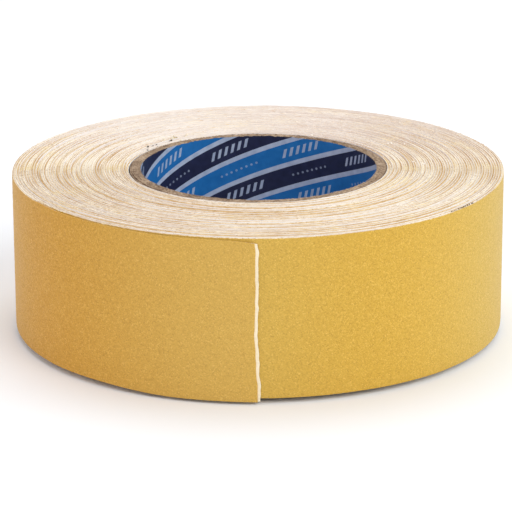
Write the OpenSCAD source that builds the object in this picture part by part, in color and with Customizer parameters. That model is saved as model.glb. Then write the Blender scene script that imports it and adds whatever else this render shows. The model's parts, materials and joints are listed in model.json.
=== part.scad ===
// Roll of grit-coated tape with a release liner, wound on a paper core and lying flat.
// The core's axis is the Z axis, and the core stands on the plane z = 0.
// Seen from above, the tape winds outwards counter-clockwise and its loose end faces -Y.

/* [Core] */
// Inside radius of the core
bore_r = 38.1; // [25:0.1:50]
// Thickness of the printed sheet that lines the core
lining_t = 0.2; // [0.1:0.05:0.5]
// Thickness of one paper ply of the core
ply_t = 0.55; // [0.3:0.05:1]
// Length of core that stands out below the wound tape
core_foot = 1.8; // [1.8:0.1:4]
// Width of the gap where the two edges of a ply meet
seam_gap = 0.3; // [0.1:0.1:1]
// Slope of that gap, in degrees from level
seam_slope = 45; // [45:1:70]

/* [Tape] */
// Width of the tape
tape_w = 50.8; // [20:0.1:60]
// Number of turns on the core
turns = 48; // [8:1:60]
// Thickness of the release liner, on the side towards the core
liner_t = 0.12; // [0.05:0.01:0.3]
// Thickness of the adhesive
adhesive_t = 0.08; // [0.05:0.01:0.2]
// Thickness of the film that carries the grit
film_t = 0.13; // [0.05:0.01:0.3]
// Height of the grit coat, on the outer side
grit_t = 0.45; // [0.2:0.01:0.8]

/* [Loose end] */
// Angle round the roll that the loose end covers
tail_angle = 54; // [30:1:80]
// How much lower the very end lies than the wound turns
tail_droop = 1.7; // [0:0.1:1.7]
// Gap between the loose end and the turn below it
tail_gap = 0.2; // [0.1:0.05:0.5]
// Width of liner left showing past the cut
liner_lip = 0.9; // [0.2:0.1:2]

/* [Hidden] */
plies = 6;
tail_steps = 4;
end_angle = 270;
seam_turn = 130;
$fn = 180;

tape_t = liner_t + adhesive_t + film_t + grit_t;
core_r = bore_r + lining_t + plies * ply_t;
core_h = core_foot + tape_w;
roll_r = core_r + turns * tape_t;

// Each layer's depth in the tape: [inner side, outer side] from the side that faces the core
LINER = [0, liner_t];
ADHESIVE = [liner_t, liner_t + adhesive_t];
FILM = [liner_t + adhesive_t, tape_t - grit_t];
GRIT = [tape_t - grit_t, tape_t];

tail_start = end_angle - tail_angle;
tail_step = tail_angle / tail_steps;
tail_r = roll_r - tape_t / 2 + tail_gap;
lip_angle = liner_lip / tail_r * 180 / PI;

// How far the loose end has dropped at boundary i of its short lengths
function droop(i) = let (u = i / tail_steps) tail_droop * u * u * (3 - 2 * u);

// Flat ring between two radii, from angle a to angle b
module sector(r_in, r_out, a, b) {
    reach = 2 * r_out;
    fan = [for (i = [0 : 3]) a + (b - a) * i / 3];
    intersection() {
        difference() {
            circle(r_out);
            circle(r_in);
        }
        polygon(concat([[0, 0]], [for (f = fan) reach * [cos(f), sin(f)]]));
    }
}

// Upright tube standing on z = 0
module tube(r_in, r_out, h) {
    difference() {
        cylinder(r = r_out, h = h);
        translate([0, 0, -1])
            cylinder(r = r_in, h = h + 2);
    }
}

// One layer of the wound tape. The spiral is drawn as half turns about two centres half a tape
// thickness apart, so each half turn runs into the next one and the radius grows as it goes round.
module wound_layer(depth) {
    translate([0, 0, core_foot])
        linear_extrude(tape_w)
            for (k = [0 : turns - 1]) {
                right_r = core_r + k * tape_t;
                left_r = right_r + tape_t / 2;
                left_end = k < turns - 1 ? end_angle : tail_start;
                sector(right_r + depth[0], right_r + depth[1], -90, 90);
                translate([0, -tape_t / 2])
                    sector(left_r + depth[0], left_r + depth[1], 90, left_end);
            }
}

// One layer of one short length of the loose end, cut top and bottom by a pair of tilted planes
// that follow the droop. extra lengthens it past its end angle.
module tail_layer(i, depth, extra = 0) {
    from = tail_start + (i - 1) * tail_step;
    to = from + tail_step;
    drop = droop(i) - droop(i - 1);
    chord = 2 * tail_r * sin(tail_step / 2);
    tilt = atan(drop / chord);
    translate([0, -tape_t / 2, 0])
        intersection() {
            translate([0, 0, -core_foot])
                linear_extrude(core_h + 2 * core_foot)
                    sector(tail_r + depth[0], tail_r + depth[1], from, to + extra);
            rotate([0, 0, from + tail_step / 2])
                translate([tail_r, 0, core_foot + tape_w / 2 - (droop(i) + droop(i - 1)) / 2])
                    rotate([-tilt, 0, 0])
                        cube([tail_r / 2, 2 * chord, tape_w * cos(tilt)], center = true);
        }
}

module core_lining() {
    color("royalblue")
        tube(bore_r, bore_r + lining_t, core_h);
}

module core_ply(i) {
    inner = bore_r + lining_t + (i - 1) * ply_t;
    color("rosybrown")
        difference() {
            tube(inner, inner + ply_t, core_h);
            rotate([0, 0, i * seam_turn])
                translate([inner, 0, core_h / 2])
                    rotate([seam_slope, 0, 0])
                        cube([inner, 2 * core_h, seam_gap], center = true);
        }
}

module release_liner() {
    color("white")
        wound_layer(LINER);
}

module adhesive_layer() {
    color("wheat")
        wound_layer(ADHESIVE);
}

module carrier_film() {
    color("darkgoldenrod")
        wound_layer(FILM);
}

module grit_coat() {
    color("goldenrod")
        wound_layer(GRIT);
}

module tail_liner(i) {
    color("white")
        tail_layer(i, LINER, i == tail_steps ? lip_angle : 0);
}

module tail_adhesive(i) {
    color("wheat")
        tail_layer(i, ADHESIVE);
}

module tail_film(i) {
    color("darkgoldenrod")
        tail_layer(i, FILM);
}

module tail_grit(i) {
    color("goldenrod")
        tail_layer(i, GRIT);
}

core_lining();
for (i = [1 : plies])
    core_ply(i);
release_liner();
adhesive_layer();
carrier_film();
grit_coat();
for (i = [1 : tail_steps])
    tail_liner(i);
for (i = [1 : tail_steps])
    tail_adhesive(i);
for (i = [1 : tail_steps])
    tail_film(i);
for (i = [1 : tail_steps])
    tail_grit(i);
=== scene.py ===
import json
import math

import bpy
import numpy as np
from mathutils import Matrix, Vector


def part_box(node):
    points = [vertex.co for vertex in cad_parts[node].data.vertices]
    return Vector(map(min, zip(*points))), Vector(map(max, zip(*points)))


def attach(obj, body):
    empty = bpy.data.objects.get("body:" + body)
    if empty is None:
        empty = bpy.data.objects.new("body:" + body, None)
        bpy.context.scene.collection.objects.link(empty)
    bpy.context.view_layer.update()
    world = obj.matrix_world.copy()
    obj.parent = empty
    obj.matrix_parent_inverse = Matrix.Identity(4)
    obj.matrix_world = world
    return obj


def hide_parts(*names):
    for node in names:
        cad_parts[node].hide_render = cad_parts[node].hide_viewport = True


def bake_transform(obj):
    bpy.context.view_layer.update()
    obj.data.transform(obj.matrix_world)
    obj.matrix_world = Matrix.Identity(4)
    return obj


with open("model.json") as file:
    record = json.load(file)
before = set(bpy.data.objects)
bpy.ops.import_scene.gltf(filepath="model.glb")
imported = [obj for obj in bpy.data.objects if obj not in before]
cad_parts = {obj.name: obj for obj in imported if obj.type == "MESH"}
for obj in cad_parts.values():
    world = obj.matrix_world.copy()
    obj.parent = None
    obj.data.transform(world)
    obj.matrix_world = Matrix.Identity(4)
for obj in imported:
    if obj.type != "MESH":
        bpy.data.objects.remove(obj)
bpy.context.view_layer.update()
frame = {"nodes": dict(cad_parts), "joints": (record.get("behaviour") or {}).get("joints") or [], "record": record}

# ---------------------------------------------------------------- sizes, in millimetres
MM = 0.001
MOUNTS = {m["name"]: m for m in frame["record"]["mounts"]}
BORE_R = MOUNTS["core_bore"]["dims"]["r_mm"]
CORE_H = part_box("core_lining")[1].z / MM
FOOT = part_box("grit_coat")[0].z / MM
PLIES = sum(name.startswith("core_ply_") for name in frame["nodes"])
LINING_T = 0.2
PLY_T = 0.55
CORE_R = BORE_R + LINING_T + PLIES * PLY_T

# each layer's depth in the tape, from the side that faces the core
LAYERS = {
    "liner": (0.0, 0.12),
    "adhesive": (0.12, 0.20),
    "film": (0.20, 0.33),
    "grit": (0.33, 0.78),
}
WOUND_NODES = {
    "liner": "release_liner",
    "adhesive": "adhesive_layer",
    "film": "carrier_film",
    "grit": "grit_coat",
}
TAPE_T = LAYERS["grit"][1]
TURNS = round((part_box("grit_coat")[1].x / MM - CORE_R) / TAPE_T)

# the turns are half circles about two centres: the origin for the right half, and this for the left half
LEFT_CENTRE = np.array([0.0, -TAPE_T / 2])

# the loose end: its hinges lie on its outer surface, one at the start of each short length
HINGES = [np.array(j["pos_m"]) / MM for j in frame["joints"]]


def direction_of(point):
    """Angle of a point round the left half turns' centre, from +X, in degrees."""
    return math.degrees(math.atan2(point[1] - LEFT_CENTRE[1], point[0])) % 360


# TAIL_GAP is the gap under the loose end, and TAIL_STEP the angle of one short length
TAIL_GAP = 0.2
TAIL_STEP = direction_of(HINGES[1]) - direction_of(HINGES[0])
TAIL_STEPS = len(HINGES)
TAIL_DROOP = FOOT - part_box(f"tail_grit_{TAIL_STEPS}")[0].z / MM

# The tape is placed by its winding angle, in degrees from its start, which faces -Y. The first hinge is
# at TAIL_START, the tape lifts half a length before it, and its outermost turn starts at FACE_START.
END = 360.0 * TURNS
TAIL_START = END - TAIL_STEP * TAIL_STEPS
FREE_START = TAIL_START - TAIL_STEP / 2
FACE_START = FREE_START - 360
# the step between two cross-sections, in degrees, and the rows of faces up a detailed side
FINE = 0.375
COARSE = 0.75
FACE_ROWS = 96

# mean height of the core's and the tape's upper edges, which leaves a margin for what stands proud, and
# the least height of the tape's lower edges
RIM_MARGIN = 0.15
RIM_H = CORE_H - RIM_MARGIN
FLOOR_GAP = 0.1


# ---------------------------------------------------------------- shape of the wound tape
def smooth(u):
    """A smooth step from 0 to 1."""
    u = np.clip(u, 0, 1)
    return u * u * (3 - 2 * u)


def waves(lengths, sizes, seed):
    """A smooth irregular curve: the sum of sines with the given lengths and sizes, and seeded phases."""
    phases = np.random.default_rng(seed).uniform(0, 2 * math.pi, len(lengths))

    def curve(x):
        x = np.asarray(x, float)
        return sum(
            size * np.sin(2 * math.pi * x / length + phase)
            for length, size, phase in zip(lengths, sizes, phases)
        )

    return curve


def arc_length(a):
    """Length of tape, in mm, from its start to winding angle a."""
    return np.radians(a) * (CORE_R + TAPE_T * np.asarray(a, float) / 720)


def spiral(a, depth):
    """Points of the tape at winding angles a, at a depth in the tape's thickness: x and y in mm."""
    a = np.asarray(a, float)
    turn = np.floor(a / 360)
    part = a - 360 * turn
    left = part >= 180
    lift = TAIL_GAP * smooth((a - FREE_START) / TAIL_STEP)
    r = CORE_R + turn * TAPE_T + depth + np.where(left, TAPE_T / 2, 0) + lift
    phi = np.radians(part - 90)
    y_centre = np.where(left, LEFT_CENTRE[1], 0)
    return np.stack([r * np.cos(phi), y_centre + r * np.sin(phi)], -1)


def loose_share(a):
    """Share of the loose end's length that is before winding angle a."""
    return np.clip((np.asarray(a, float) - TAIL_START) / (END - TAIL_START), 0, 1)


# the loose end's slip: where it starts and how long it is, as shares of the loose end's length, and how
# much the step and the tip each add at the lower and the upper edge, as shares of the whole droop
SLIP_START = 0.22
SLIP_LENGTH = 0.45
LOW_STEP, LOW_TIP = 0.5, 0.12
HIGH_STEP, HIGH_TIP = 0.22, 0.65


def droop(a):
    """How far the loose end's lower and upper edge have slipped down at winding angle a.

    The slip is a smooth step, with a little more at the tip, where the hand-cut end has lost its corner.
    """
    share = loose_share(a)
    step = smooth((share - SLIP_START) / SLIP_LENGTH)
    low = TAIL_DROOP * (LOW_STEP * step + LOW_TIP * share**8)
    high = TAIL_DROOP * (HIGH_STEP * step + HIGH_TIP * share**12)
    return low, high


# The tape's wander along the core, in mm: slowly along its length, and from turn to turn, more on some
# sides than on others. Along the loose end it fades by TIP_STEADY.
wander = waves([523, 241, 117, 51, 19], [0.09, 0.08, 0.06, 0.03, 0.015], 3)
ring_wave = waves([11.3, 6.1, 3.7, 2.3, 1.37], [0.16, 0.17, 0.17, 0.15, 0.10], 5)
ring_fade = waves([1.0, 0.5], [0.35, 0.25], 8)
RING_SHARE = 0.65
TIP_STEADY = 0.8

# how far each layer's cut edges stand proud, wound and in the loose end, and how rough they are, in mm
EDGE_OFFSET = {"liner": 0.16, "adhesive": -0.16, "film": 0.02, "grit": -0.03}
LOOSE_OFFSET = {"liner": -0.12, "adhesive": -0.10, "film": -0.06, "grit": -0.03}
EDGE_ROUGH = {"liner": 0.02, "adhesive": 0.02, "film": 0.02, "grit": 0.04}


def side_shift(a):
    """How far the tape has wandered along the core at winding angle a. It fades along the loose end."""
    turn = np.asarray(a, float) / 360
    shift = wander(arc_length(a)) + ring_wave(turn) * (RING_SHARE + ring_fade(turn % 1))
    return shift * (1 - TIP_STEADY * smooth((a - FREE_START) / (END - FREE_START)))


def edge_heights(layer, a, noise):
    """Bottom and top height of a layer's edges, for its inner and outer side, at winding angles a."""
    base = side_shift(a)
    low_drop, high_drop = droop(a)
    rough = EDGE_ROUGH[layer] * noise
    loosened = smooth((a - FREE_START) / TAIL_STEP)
    offset = EDGE_OFFSET[layer] + (LOOSE_OFFSET[layer] - EDGE_OFFSET[layer]) * loosened
    top = RIM_H + base + offset - high_drop
    bottom = np.maximum(FOOT + FLOOR_GAP + base - offset - low_drop, FLOOR_GAP)
    return bottom + rough[0] * 0.5, bottom + rough[1] * 0.5, top + rough[2], top + rough[3]


# ---------------------------------------------------------------- meshes
def mesh_object(name, verts, faces, slots, materials, uvs):
    """A mesh object from points in mm, with each face's material slot and each corner's UV in mm."""
    mesh = bpy.data.meshes.new(name)
    mesh.from_pydata((np.asarray(verts) * MM).tolist(), [], faces)
    for material in materials:
        mesh.materials.append(material)
    mesh.polygons.foreach_set("material_index", np.asarray(slots, np.int32))
    layer = mesh.uv_layers.new(name="UVMap")
    layer.data.foreach_set("uv", (np.asarray(uvs) * MM).astype(np.float32).ravel())
    mesh.update()
    piece = bpy.data.objects.new(name, mesh)
    bpy.context.scene.collection.objects.link(piece)
    return piece


def ends(m, rows):
    """The faces that close a section: quads between its two sides, or one face if their rows differ."""
    if rows[0] != rows[1]:
        return [list(range(m))]
    return [[k, k + 1, m - 2 - k, m - 1 - k] for k in range(rows[0])]


# width of an end face in its UVs, in mm
CAP_UV_WIDTH = 0.3


def sweep(name, loops, edge_sides, materials, along, rows=None):
    """A closed solid through a row of cross-sections, each a closed loop with the same number of points.

    edge_sides says for each side of the loop whether it is a cut edge, which takes the second material.
    along is each section's distance in mm, the UVs' first axis. Their second axis runs round the loop.
    rows is the number of rows on a section's two sides. Without it the sections themselves form a ring.
    """
    n, m, _ = loops.shape
    ring = rows is None
    i = np.arange(n if ring else n - 1)[:, None]
    j = np.arange(m)[None, :]
    after_i, after_j = (i + 1) % n, (j + 1) % m
    quads = np.stack([i * m + j, i * m + after_j, after_i * m + after_j, after_i * m + j], -1)
    quads = quads.reshape(-1, 4)
    verts = loops.reshape(-1, 3)
    p = verts[quads]
    normals = np.cross(p[:, 1], p[:, 2]) + np.cross(p[:, 2], p[:, 3])
    turned = np.einsum("ij,ij->i", p[:, 0], normals).sum() < 0

    steps = np.linalg.norm(np.diff(loops, axis=1, append=loops[:, :1]), axis=2)
    around = np.concatenate([np.zeros((n, 1)), np.cumsum(steps, axis=1)], axis=1)
    along = np.append(along, 2 * along[-1] - along[-2])
    u = np.stack(np.broadcast_arrays(along[i], along[i], along[i + 1], along[i + 1] + 0 * j), -1)
    v = np.stack([around[i, j], around[i, j + 1], around[after_i, j + 1], around[after_i, j]], -1)
    u, v = u.reshape(-1, 4), v.reshape(-1, 4)
    if turned:
        quads, u, v = quads[:, ::-1], u[:, ::-1], v[:, ::-1]
    faces = quads.tolist()
    uvs = [np.stack([u, v], -1).reshape(-1, 2)]
    slots = np.tile(np.asarray(edge_sides, int), len(i)).tolist()
    if not ring:
        for station, reverse in ((0, not turned), (n - 1, turned)):
            for corner in ends(m, rows):
                corner = corner[::-1] if reverse else corner
                faces.append([station * m + k for k in corner])
                across = [along[station] + CAP_UV_WIDTH * (k >= m / 2) for k in corner]
                uvs.append(np.stack([across, around[station, corner]], -1))
                slots.append(1)
    return mesh_object(name, verts, faces, slots, materials, np.concatenate(uvs))


# random relief of the outermost turn, for each cross-section and row, and of each layer's four edges
SECTIONS = round((END - FACE_START) / FINE) + 1
GRAIN = np.random.default_rng(11).normal(0, 1, (SECTIONS, FACE_ROWS + 1))
EDGE_NOISE = np.random.default_rng(12).normal(0, 1, (len(LAYERS), 4, SECTIONS))
# the relief's height, how far the face is set back for it, and the wear at the face's two edges, in mm
GRAIN_H = 0.018
GRAIN_INSET = 0.04
RIM_WEAR = 0.10


def tape_piece(name, layer, a, rows=(1, 1), noise=None, cut=None):
    """A length of one layer, through the winding angles a.

    rows is the number of rows of faces up its outer and its inner side.
    noise is the random part of its four edges. Without it, it is taken from EDGE_NOISE.
    cut gives how far its far end reaches past the last angle, in mm, at each share of its height.
    """
    inner, outer = LAYERS[layer]
    first = round((a[0] - FACE_START) / FINE)
    if noise is None:
        noise = EDGE_NOISE[list(LAYERS).index(layer)][:, first : first + len(a)]
    bottom_in, bottom_out, top_in, top_out = edge_heights(layer, a, noise)
    stretch = (a - a[0]) / (a[-1] - a[0])
    degrees_per_mm = math.degrees(1 / (CORE_R + TURNS * TAPE_T))

    def column(share, depth, bottom, top):
        reach = cut(share) * degrees_per_mm * stretch if cut else 0
        height = bottom + share * (top - bottom)
        return np.concatenate([spiral(a + reach, depth), height[:, None]], axis=1)

    columns = []
    for row in range(rows[0] + 1):
        share = row / rows[0]
        depth = outer
        if layer == "grit" and rows[0] == FACE_ROWS:
            worn = RIM_WEAR * math.exp(-min(row, FACE_ROWS - row))
            depth = outer - GRAIN_INSET - worn + GRAIN_H * GRAIN[first : first + len(a), row]
        columns.append(column(share, depth, bottom_out, top_out))
    for row in range(rows[1] + 1):
        columns.append(column(1 - row / rows[1], inner, bottom_in, top_in))
    sides = [0] * rows[0] + [1] + [0] * rows[1] + [1]
    return sweep(name, np.stack(columns, axis=1), sides, materials_of(layer), arc_length(a), rows)


# ---------------------------------------------------------------- materials
def srgb(r, g, b):
    """A colour given as 0 to 255 values, in Blender's linear light."""

    def linear(c):
        c /= 255
        return c / 12.92 if c <= 0.04045 else ((c + 0.055) / 1.055) ** 2.4

    return (linear(r), linear(g), linear(b), 1)


class Nodes:
    """Short names for building a node material."""

    def __init__(self, name):
        self.material = bpy.data.materials.new(name)
        self.material.use_nodes = True
        self.tree = self.material.node_tree
        self.shader = self.tree.nodes["Principled BSDF"]

    def add(self, kind, settings=None, **inputs):
        node = self.tree.nodes.new(kind)
        for key, value in (settings or {}).items():
            setattr(node, key, value)
        for key, value in inputs.items():
            self.plug(node.inputs[key.replace("_", " ")], value)
        return node

    def plug(self, socket, value):
        if isinstance(value, bpy.types.NodeSocket):
            self.tree.links.new(value, socket)
        else:
            socket.default_value = value

    def math(self, operation, a, b=0.0, c=0.0, clamp=False):
        node = self.add("ShaderNodeMath", {"operation": operation, "use_clamp": clamp})
        for socket, value in zip(node.inputs, (a, b, c)):
            self.plug(socket, value)
        return node.outputs[0]

    def ramp(self, value, *stops):
        """A colour ramp with stops of (position, colour)."""
        node = self.add("ShaderNodeValToRGB", Fac=value)
        elements = node.color_ramp.elements
        while len(elements) < len(stops):
            elements.new(0.5)
        for element, (position, colour) in zip(elements, stops):
            element.position = position
            element.color = colour
        return node.outputs["Color"]

    def mix(self, factor, a, b):
        node = self.add("ShaderNodeMix", {"data_type": "RGBA"})
        self.plug(node.inputs["Factor"], factor)
        self.plug(node.inputs["A"], a)
        self.plug(node.inputs["B"], b)
        return node.outputs["Result"]

    def noise(self, vector, size_mm, detail):
        scale = 1 / (size_mm * MM)
        return self.add("ShaderNodeTexNoise", Vector=vector, Scale=scale, Detail=detail).outputs["Fac"]

    def cells(self, vector, size_mm):
        """Voronoi cells about size_mm across: (distance from the cell's middle, random colour)."""
        scale = 1 / (size_mm * MM)
        node = self.add("ShaderNodeTexVoronoi", Vector=vector, Scale=scale)
        return node.outputs["Distance"], node.outputs["Color"]

    def bump(self, height, distance_mm, strength):
        node = self.add("ShaderNodeBump", Height=height, Distance=distance_mm * MM, Strength=strength)
        self.plug(self.shader.inputs["Normal"], node.outputs["Normal"])

    def coordinates(self, kind="UV"):
        return self.add("ShaderNodeTexCoord").outputs[kind]

    def stretched(self, vector, x, y):
        return self.add("ShaderNodeMapping", Vector=vector, Scale=(x, y, 1.0)).outputs["Vector"]

    def finish(self, colour, roughness, specular):
        self.plug(self.shader.inputs["Base Color"], colour)
        self.plug(self.shader.inputs["Roughness"], roughness)
        self.plug(self.shader.inputs["Specular IOR Level"], specular)
        return self.material


# slow waves of painted light on the gold along the tape: their length and where each starts, in mm of tape
# the first sways between a redder painted shade and a yellower lit gold, the second is a band of painted sheen
PAINTED_LIGHT_SWAY = (606.0, 17908.0)
PAINTED_SHEEN = (127.0, 18150.0)


def tape_wave(n, along, length_mm, start_mm):
    """A slow wave along the tape between 0 and 1, rising through its middle at start_mm."""
    per_metre = 2 * math.pi / (length_mm * MM)
    phase = -2 * math.pi * start_mm / length_mm
    turned = n.math("MULTIPLY_ADD", along, per_metre, phase)
    return n.math("MULTIPLY_ADD", n.math("SINE", turned), 0.5, 0.5)


def grit_face():
    """Golden mineral grains in resin: each grain has its own tone, with a few dark and a few bright ones.

    Along the tape the gold sways between a redder painted shade and a yellower lit tone, and a paler painted sheen
    comes and goes.
    """
    n = Nodes("grit_face")
    uv = n.coordinates()
    middle, tone = n.cells(uv, 0.32)
    grain = n.add("ShaderNodeSeparateColor", Color=tone).outputs["Red"]
    gold = n.ramp(
        grain,
        (0.0, srgb(166, 124, 34)),
        (0.15, srgb(197, 154, 51)),
        (0.85, srgb(219, 174, 66)),
        (1.0, srgb(244, 204, 104)),
    )
    patch = n.noise(uv, 9.0, 3.0)
    gold = n.mix(n.math("MULTIPLY", patch, 0.2), gold, srgb(200, 154, 62))
    along = n.add("ShaderNodeSeparateXYZ", Vector=uv).outputs["X"]
    # painted light: a redder gold for painted shade and a yellower gold for the lit side, swaying slowly along the
    # tape
    painted_light = tape_wave(n, along, *PAINTED_LIGHT_SWAY)
    gold = n.mix(0.5, gold, n.mix(painted_light, srgb(208, 167, 68), srgb(207, 146, 58)))
    # painted sheen: a paler, greener gold that comes and goes along the tape
    sheen = tape_wave(n, along, *PAINTED_SHEEN)
    gold = n.mix(n.math("MULTIPLY", sheen, 0.14), gold, srgb(212, 215, 150))
    gap = n.math("GREATER_THAN", middle, 0.62)
    colour = n.mix(n.math("MULTIPLY", gap, 0.15), gold, srgb(150, 110, 44))
    height = n.math("SUBTRACT", n.math("MULTIPLY", grain, 0.5), middle)
    n.bump(height, 0.12, 0.35)
    rough = n.math("MULTIPLY_ADD", grain, -0.2, 0.62)
    return n.finish(colour, rough, 0.25)


def cut_edge(name, pale, deep, fleck, share, size_mm=0.5):
    """A layer's cut edge: streaks along the tape between two tones, with flecks and yellowed patches.

    The colours are given as 0 to 255 values, here and in the next two functions.
    """
    n = Nodes(name)
    uv = n.coordinates()
    streak = n.noise(n.stretched(uv, 0.016, 1.0), size_mm, 3.0)
    slow = n.noise(n.stretched(uv, 0.01, 0.01), size_mm, 2.0)
    tone = n.math("MULTIPLY_ADD", n.math("SUBTRACT", streak, 0.5), 1.6, slow, clamp=True)
    colour = n.ramp(tone, (0.3, srgb(*deep)), (0.7, srgb(*pale)))
    _, random = n.cells(uv, 0.35)
    speck = n.add("ShaderNodeSeparateColor", Color=random).outputs["Green"]
    flecks = n.math("MULTIPLY", n.math("LESS_THAN", speck, share), 0.7)
    colour = n.mix(flecks, colour, srgb(*fleck))
    # the yellowing sets in a little above the noise's middle
    patch = n.noise(n.coordinates("Object"), 7.0, 2.0)
    yellowed = n.math("MULTIPLY_ADD", patch, 1.8, -0.93, clamp=True)
    colour = n.mix(yellowed, colour, srgb(238, 216, 156))
    n.bump(streak, 0.1, 0.6)
    return n.finish(colour, n.math("MULTIPLY_ADD", streak, 0.2, 0.6), 0.3)


def paper_face(name, pale, deep):
    """Coated paper with faint fibres."""
    n = Nodes(name)
    uv = n.coordinates()
    fibre = n.noise(n.stretched(uv, 0.3, 1.0), 0.6, 4.0)
    cloud = n.noise(uv, 7.0, 2.0)
    tone = n.math("MULTIPLY", n.math("ADD", fibre, cloud), 0.5)
    colour = n.ramp(tone, (0.35, srgb(*deep)), (0.65, srgb(*pale)))
    n.bump(fibre, 0.05, 0.4)
    return n.finish(colour, n.math("MULTIPLY_ADD", fibre, 0.2, 0.4), 0.4)


def film_face(name, pale, deep, roughness):
    """A plain coated sheet, cloudy at a few millimetres."""
    n = Nodes(name)
    uv = n.coordinates()
    cloud = n.noise(uv, 3.0, 4.0)
    n.bump(cloud, 0.05, 0.3)
    colour = n.ramp(cloud, (0.3, srgb(*deep)), (0.7, srgb(*pale)))
    return n.finish(colour, n.math("MULTIPLY_ADD", cloud, 0.2, roughness), 0.5)


def board(name):
    """Grey-brown core board: matted fibres with dark and pale flecks."""
    n = Nodes(name)
    where = n.coordinates("Object")
    fibre = n.noise(where, 0.9, 5.0)
    cloud = n.noise(where, 5.0, 3.0)
    tone = n.math("MULTIPLY_ADD", n.math("SUBTRACT", fibre, 0.5), 1.5, cloud, clamp=True)
    colour = n.ramp(
        tone,
        (0.25, srgb(128, 106, 86)),
        (0.5, srgb(156, 133, 110)),
        (0.75, srgb(182, 159, 135)),
    )
    _, random = n.cells(where, 0.5)
    speck = n.add("ShaderNodeSeparateColor", Color=random).outputs["Blue"]
    flecks = n.math("MULTIPLY", n.math("LESS_THAN", speck, 0.03), 0.5)
    colour = n.mix(flecks, colour, srgb(84, 68, 56))
    n.bump(fibre, 0.15, 0.6)
    return n.finish(colour, n.math("MULTIPLY_ADD", fibre, 0.1, 0.8), 0.2)


# The lining's print, in mm: bands that come down counter-clockwise, seen from above. The first one's upper
# edge starts BAND_TOP above the rim at +X, and the print's seam lies BAND_LEAD above that edge. The ink
# covers INK_HALF of a band's pitch to each side of its middle, and a silver line the rest.
BAND_SLOPE = 0.36
BAND_PITCH = 8.23
BAND_TOP = 32.9
BAND_LEAD = 10.0
INK_HALF = 0.4
# the plain marks along a band, in mm: groups of slanted bars, and rows of dots between the groups
MARK_SPACING = 46.3
MARK_START = 3.0
GROUP_HALF = 7.2
BAR_PITCH = 2.4
BAR_WIDTH = 1.1
BAR_HALF_HEIGHT = 1.35
BAR_SLANT = 0.6
DOT_PITCH = 1.8
DOT_R = 0.4
# how strongly the marks show, and the dots among them
MARK_SHOW = 0.85
DOT_SHOW = 0.6


def printed_marks(n, along, across):
    """How strongly the marks show, 0 to 1, at a distance along a band and across it from its middle."""
    spaced = n.math("FLOORED_MODULO", along, MARK_SPACING)
    place = n.math("SUBTRACT", spaced, MARK_SPACING / 2)
    slanted = n.math("MULTIPLY_ADD", across, BAR_SLANT, place)
    bar = n.math("LESS_THAN", n.math("FLOORED_MODULO", slanted, BAR_PITCH), BAR_WIDTH)
    group = n.math("LESS_THAN", n.math("ABSOLUTE", slanted), GROUP_HALF)
    tall = n.math("LESS_THAN", n.math("ABSOLUTE", across), BAR_HALF_HEIGHT)
    bars = n.math("MULTIPLY", n.math("MULTIPLY", bar, group), tall)
    half_on = n.math("SUBTRACT", n.math("ABSOLUTE", place), MARK_SPACING / 2 - GROUP_HALF)
    dot_place = n.math("SUBTRACT", n.math("FLOORED_MODULO", half_on, DOT_PITCH), DOT_PITCH / 2)
    from_dot = n.math("MULTIPLY_ADD", across, across, n.math("MULTIPLY", dot_place, dot_place))
    dot = n.math("LESS_THAN", from_dot, DOT_R**2)
    dots = n.math("MULTIPLY", dot, n.math("GREATER_THAN", half_on, 0.0))
    return n.math("MAXIMUM", bars, n.math("MULTIPLY", dots, DOT_SHOW))


def printed_lining():
    """The core's printed lining: rising bands in two blues with silver lines between, and plain marks."""
    n = Nodes("printed_lining")
    where = n.coordinates("Object")
    x, y, z = n.add("ShaderNodeSeparateXYZ", Vector=where).outputs
    turn = n.math("MULTIPLY", n.math("ARCTAN2", y, x), BORE_R * MM)
    height = n.math("SUBTRACT", z, CORE_H * MM)
    rise = n.math("MULTIPLY_ADD", turn, BAND_SLOPE, height)
    strip = 2 * math.pi * BORE_R * BAND_SLOPE
    seam = n.math("FLOORED_MODULO", n.math("SUBTRACT", (BAND_TOP + BAND_LEAD) * MM, rise), strip * MM)
    band = n.math("DIVIDE", n.math("SUBTRACT", seam, BAND_LEAD * MM), BAND_PITCH * MM)
    off_middle = n.math("SUBTRACT", n.math("FRACT", band), 0.5)
    line = n.math("GREATER_THAN", n.math("ABSOLUTE", off_middle), INK_HALF)
    dark_band = n.math("GREATER_THAN", n.math("FLOORED_MODULO", band, 2.0), 1.0)
    ink_wear = n.noise(where, 2.5, 4.0)
    royal = n.ramp(ink_wear, (0.3, srgb(18, 100, 166)), (0.7, srgb(28, 112, 180)))
    navy = n.ramp(ink_wear, (0.3, srgb(23, 26, 54)), (0.7, srgb(31, 35, 68)))
    silver = n.ramp(ink_wear, (0.3, srgb(160, 172, 196)), (0.7, srgb(184, 194, 214)))
    ink = n.mix(dark_band, royal, navy)
    # distance along the band, and across it from the band's middle, in mm
    tilt = math.atan(BAND_SLOPE)
    climb = n.math("MULTIPLY", height, math.sin(tilt) / MM)
    along = n.math("MULTIPLY_ADD", turn, -math.cos(tilt) / MM, climb)
    across = n.math("MULTIPLY", off_middle, BAND_PITCH * math.cos(tilt))
    # the marks of each band start half a spacing on from those of the band before
    start = n.math("MULTIPLY_ADD", n.math("FLOOR", band), MARK_SPACING / 2, MARK_SPACING / 2 - MARK_START)
    mark = printed_marks(n, n.math("ADD", along, start), across)
    colour = n.mix(n.math("MULTIPLY", mark, MARK_SHOW), ink, silver)
    colour = n.mix(line, colour, silver)
    n.bump(ink_wear, 0.03, 0.3)
    return n.finish(colour, n.math("MULTIPLY_ADD", ink_wear, 0.2, 0.3), 0.5)


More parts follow.
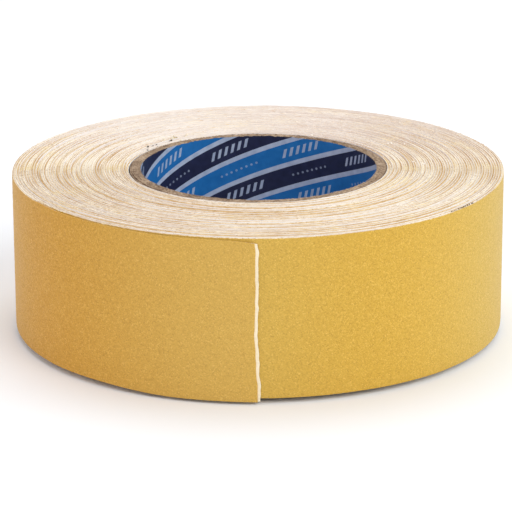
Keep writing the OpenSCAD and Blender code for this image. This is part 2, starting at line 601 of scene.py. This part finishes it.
MATERIALS = {
    "grit_face": grit_face(),
    "grit_edge": cut_edge("grit_edge", (240, 226, 200), (194, 154, 100), (150, 114, 66), 0.08),
    "film_edge": cut_edge("film_edge", (248, 238, 220), (230, 208, 174), (196, 164, 112), 0.05),
    "film_face": film_face("film_face", (222, 190, 120), (206, 168, 92), 0.35),
    "adhesive_edge": cut_edge("adhesive_edge", (222, 206, 178), (160, 134, 100), (120, 98, 74), 0.06),
    "adhesive_face": film_face("adhesive_face", (236, 220, 180), (226, 206, 160), 0.25),
    "liner_edge": cut_edge("liner_edge", (253, 248, 240), (238, 226, 212), (220, 200, 172), 0.04),
    # liner_face and lip_face are one paper, partly its own white and partly painted light: cooler on the wound
    # turns, whose faces show at the back under the cool light from above, and creamier on the lip at the front
    "liner_face": paper_face("liner_face", (249, 246, 246), (240, 232, 230)),
    "dusty_grit_face": film_face("dusty_grit_face", (240, 222, 190), (204, 164, 96), 0.6),
    "lip_face": paper_face("lip_face", (252, 241, 214), (240, 228, 200)),
    "board": board("core_board"),
    "lining": printed_lining(),
    "crumb": cut_edge("crumb", (250, 244, 226), (206, 176, 96), (110, 92, 56), 0.2, 0.4),
    "soot": cut_edge("soot", (96, 86, 78), (38, 34, 34), (150, 130, 100), 0.1, 0.4),
}


def materials_of(layer):
    return [MATERIALS[layer + "_face"], MATERIALS[layer + "_edge"]]


def gild_edges(piece):
    """Gives a piece's cut edges the colour of the grit, which has smeared over them on the loose end."""
    piece.data.materials[1] = MATERIALS["grit_face"]


# ---------------------------------------------------------------- the wound tape
def stations(start, end):
    """The winding angles of a detailed piece's cross-sections."""
    return np.linspace(start, end, round((end - start) / FINE) + 1)


def wound_layers():
    for seed, (layer, node) in enumerate(WOUND_NODES.items()):
        last = FACE_START if layer == "grit" else FREE_START
        a = np.linspace(0, last, round(last / COARSE) + 1)
        noise = np.random.default_rng(20 + seed).normal(0, 1, (4, len(a)))
        piece = tape_piece("wound_" + layer, layer, a, noise=noise)
        if layer == "grit":
            # between the turns only a dusty line of the grit's face shows
            piece.data.materials[0] = MATERIALS["dusty_grit_face"]
        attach(piece, "roll")
        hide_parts(node)
    face = tape_piece("outer_turn_grit", "grit", stations(FACE_START, FREE_START), rows=(FACE_ROWS, 1))
    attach(face, "roll")
    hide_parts("grit_coat")


# ---------------------------------------------------------------- the loose end
# how far the hand-cut end reaches past the last angle, and the liner's lip past that cut, in mm, at
# shares of the tape's height
CUT_SHARES = (0.0, 0.08, 0.2, 0.3, 0.45, 0.6, 0.9, 1.0)
CUT_REACH = (-0.5, -0.6, -1.0, -1.2, -1.55, -1.2, -1.15, -1.25)
LIP_SHARES = (0.0, 0.25, 0.5, 0.96, 1.0)
LIP_REACH = (0.85, 1.05, 0.95, 0.95, 0.8)
cut_ripple = waves([0.21, 0.12, 0.07], [0.06, 0.05, 0.03], 14)
lip_ripple = waves([0.17, 0.09, 0.05], [0.05, 0.04, 0.03], 15)


def tape_cut(share):
    return float(np.interp(share, CUT_SHARES, CUT_REACH) + cut_ripple(share))


def lip_cut(share):
    return tape_cut(share) + float(np.interp(share, LIP_SHARES, LIP_REACH) + lip_ripple(share))


def loose_bend(layer, i):
    """A layer from the middle of one short length to the middle of the next, which bends at hinge i."""
    middle = TAIL_START + i * TAIL_STEP
    a = stations(middle - TAIL_STEP / 2, middle + TAIL_STEP / 2)
    rows = (FACE_ROWS, 1) if layer == "grit" else (1, 1)
    piece = tape_piece(f"loose_{layer}_{i + 1}", layer, a, rows)
    gild_edges(piece)
    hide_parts(f"tail_{layer}_{i + 1}")
    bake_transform(piece)


def loose_tip(layer):
    """A layer's last half length, up to the hand-cut end, where the liner sticks out as a thin lip."""
    cut = lip_cut if layer == "liner" else tape_cut
    a = stations(END - TAIL_STEP / 2, END)
    tip = tape_piece(f"loose_{layer}_tip", layer, a, (FACE_ROWS, FACE_ROWS), cut=cut)
    gild_edges(tip)
    if layer == "liner":
        tip.data.materials[0] = MATERIALS["lip_face"]
    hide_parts(f"tail_{layer}_{TAIL_STEPS}")
    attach(tip, f"tail_{TAIL_STEPS}")


def loose_end():
    """Each layer's loose end: a piece for each bend, and a rigid tip."""
    for layer in LAYERS:
        for i in range(TAIL_STEPS):
            loose_bend(layer, i)
        loose_tip(layer)


# ---------------------------------------------------------------- the core
# a ply's rim, in mm: how much it is crowned, how rough it is, and how far the outermost one has worn down
RIM_CROWN = 0.05
RIM_ROUGH = 0.06
OUTER_PLY_DROP = 0.4
CORE_SECTIONS = 720
CORE_SEED = 70


def tube(name, r_in, r_out, seed, materials, top_drop=0.0):
    """A paper tube with a worn, slightly ragged rim. The second material is for the rim."""
    rng = np.random.default_rng(seed)
    phi = np.linspace(0, 2 * math.pi, CORE_SECTIONS, endpoint=False)
    ragged = waves([2 * math.pi / k for k in (3, 11, 29, 61)], [0.05, 0.04, 0.04, 0.03], seed)(phi)
    mid_r = (r_in + r_out) / 2
    top = RIM_H - top_drop + ragged
    nibble = rng.normal(0, RIM_ROUGH, (3, CORE_SECTIONS))

    def ring(r, z):
        z = np.broadcast_to(z, CORE_SECTIONS)
        return np.stack([r * np.cos(phi), r * np.sin(phi), z], -1)

    loops = [
        ring(r_in, RIM_CROWN),
        ring(mid_r, 0.0),
        ring(r_out, RIM_CROWN),
        ring(r_out, top - RIM_CROWN + nibble[0]),
        ring(mid_r, top + nibble[1]),
        ring(r_in, top - RIM_CROWN + nibble[2]),
    ]
    return sweep(name, np.stack(loops, axis=1), [1, 1, 0, 1, 1, 0], materials, phi * mid_r)


def core():
    paper = [MATERIALS["lining"], MATERIALS["board"]]
    lining = tube("printed_lining", BORE_R, BORE_R + LINING_T, CORE_SEED, paper)
    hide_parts("core_lining")
    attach(lining, "roll")
    for i in range(1, PLIES + 1):
        inner = BORE_R + LINING_T + (i - 1) * PLY_T
        drop = OUTER_PLY_DROP if i == PLIES else 0.0
        ply = tube(f"board_ply_{i}", inner, inner + PLY_T, CORE_SEED + i, [MATERIALS["board"]] * 2, drop)
        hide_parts(f"core_ply_{i}")
        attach(ply, "roll")


# ---------------------------------------------------------------- loose chips and dirt
# how far a chip's middle is above the mean height of the tape's edges there, in mm
CHIP_LIFT = 0.2


def crumb(place, size, rng):
    """One chip as points and faces: an irregular lump with six corners, up to size from its middle."""
    corners = [(1, 0, 0), (-1, 0, 0), (0, 1, 0), (0, -1, 0), (0, 0, 1), (0, 0, -1)]
    points = [np.array(place) + np.array(c) * size * rng.uniform(0.4, 1.0) for c in corners]
    faces = [(0, 2, 4), (2, 1, 4), (1, 3, 4), (3, 0, 4), (2, 0, 5), (1, 2, 5), (3, 1, 5), (0, 3, 5)]
    return points, faces


def wound_top(direction, r):
    """Height of the wound tape's end in a direction, in degrees, and at a radius."""
    turn = math.floor((r - CORE_R) / TAPE_T)
    return RIM_H + float(side_shift(360 * turn + (direction + 90) % 360))


def crumbs():
    """Chips of grit and paper on the roll's end near the core, and dark dirt there and on the rim.

    Each group has a direction and a spread in degrees, the least and the most distance from the core,
    the least and the most size, all in mm, its count and its material.
    """
    rim = TURNS * TAPE_T
    grit, paper, dirt = range(3)
    groups = (
        (131, 8, 0.5, 4, 0.35, 0.8, 10, grit),
        (55, 6, 0.5, 4, 0.35, 0.8, 4, paper),
        (25, 14, 0.5, 14, 0.35, 0.8, 7, paper),
        (323, 3, rim - 0.7, rim - 0.3, 0.15, 0.35, 26, dirt),
        (141, 6, 0.3, 1.6, 0.25, 0.5, 8, dirt),
    )
    rng = np.random.default_rng(31)
    points, faces, slots = [], [], []
    for direction, spread, nearest, farthest, least, most, count, slot in groups:
        for _ in range(count):
            toward = direction + rng.normal(0, spread)
            phi = math.radians(toward)
            r = CORE_R + rng.uniform(nearest, farthest)
            place = (r * math.cos(phi), r * math.sin(phi), wound_top(toward, r) + CHIP_LIFT)
            lump, sides = crumb(place, rng.uniform(least, most), rng)
            faces += [[len(points) + k for k in side] for side in sides]
            slots += [slot] * len(sides)
            points += lump
    uvs = np.concatenate([np.asarray(points)[side][:, :2] for side in faces])
    materials = [MATERIALS["crumb"], MATERIALS["liner_edge"], MATERIALS["soot"]]
    piece = mesh_object("loose_crumbs", points, faces, slots, materials, uvs)
    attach(piece, "roll")


# ---------------------------------------------------------------- floor, lights and camera
# the floor's half width and the lamps' width, in metres, and the point that the lamps face
FLOOR_HALF = 6.0
LAMP_WIDTH = 1.2
ROLL_MIDDLE = Vector((0, 0, 0.03))


def floor_material():
    """A matt, almost white floor, a little darker in wide soft patches."""
    n = Nodes("floor")
    cloud = n.noise(n.coordinates("Object"), 200.0, 2.0)
    pale = (0.93, 0.94, 0.96)
    deep = [c * 0.99 for c in pale]
    return n.finish(n.ramp(cloud, (0.0, (*deep, 1)), (1.0, (*pale, 1))), 0.9, 0.2)


def floor():
    w = FLOOR_HALF
    mesh = bpy.data.meshes.new("floor")
    mesh.from_pydata([(-w, -w, 0), (w, -w, 0), (w, w, 0), (-w, w, 0)], [], [(0, 1, 2, 3)])
    mesh.materials.append(floor_material())
    ground = bpy.data.objects.new("floor", mesh)
    bpy.context.scene.collection.objects.link(ground)


def area_light(name, place, power, colour):
    light = bpy.data.lights.new(name, "AREA")
    light.shape = "DISK"
    light.size = LAMP_WIDTH
    light.energy = power
    light.color = colour
    lamp = bpy.data.objects.new(name, light)
    lamp.location = place
    lamp.rotation_euler = (ROLL_MIDDLE - Vector(place)).to_track_quat("-Z", "Y").to_euler()
    bpy.context.scene.collection.objects.link(lamp)


def lights():
    world = bpy.data.worlds.new("studio")
    world.use_nodes = True
    world.node_tree.nodes["Background"].inputs["Color"].default_value = (1, 1, 1, 1)
    world.node_tree.nodes["Background"].inputs["Strength"].default_value = 0.6
    bpy.context.scene.world = world
    area_light("key", (0.75, -1.1, 1.1), 11.5, (1.0, 0.99, 0.98))
    area_light("warm_side", (-1.3, -0.3, 0.6), 3.3, (1.0, 0.74, 0.76))
    area_light("cool_side", (1.4, -0.2, 0.6), 5, (0.82, 0.97, 1.0))
    area_light("top", (0.0, 0.6, 1.4), 8.4, (0.88, 0.94, 1.0))


def camera():
    """The camera looks along +Y, a little down, from far off, with a slight roll."""
    elevation = math.radians(17.44)
    roll = math.radians(-0.18)
    distance = 0.948
    target = Vector((-0.93, 0.0, 22.2)) * MM
    lens_per_width = 5.676
    data = bpy.data.cameras.new("camera")
    data.sensor_width = 36
    data.lens = lens_per_width * data.sensor_width
    view = bpy.data.objects.new("camera", data)
    away = Vector((0, -math.cos(elevation), math.sin(elevation)))
    turn = (-away).to_track_quat("-Z", "Y").to_matrix().to_4x4() @ Matrix.Rotation(roll, 4, "Z")
    view.matrix_world = Matrix.Translation(target + away * distance) @ turn
    bpy.context.scene.collection.objects.link(view)
    bpy.context.scene.camera = view


camera()
core()
wound_layers()
loose_end()
crumbs()
floor()
lights()
bpy.context.scene.view_settings.view_transform = "Standard"
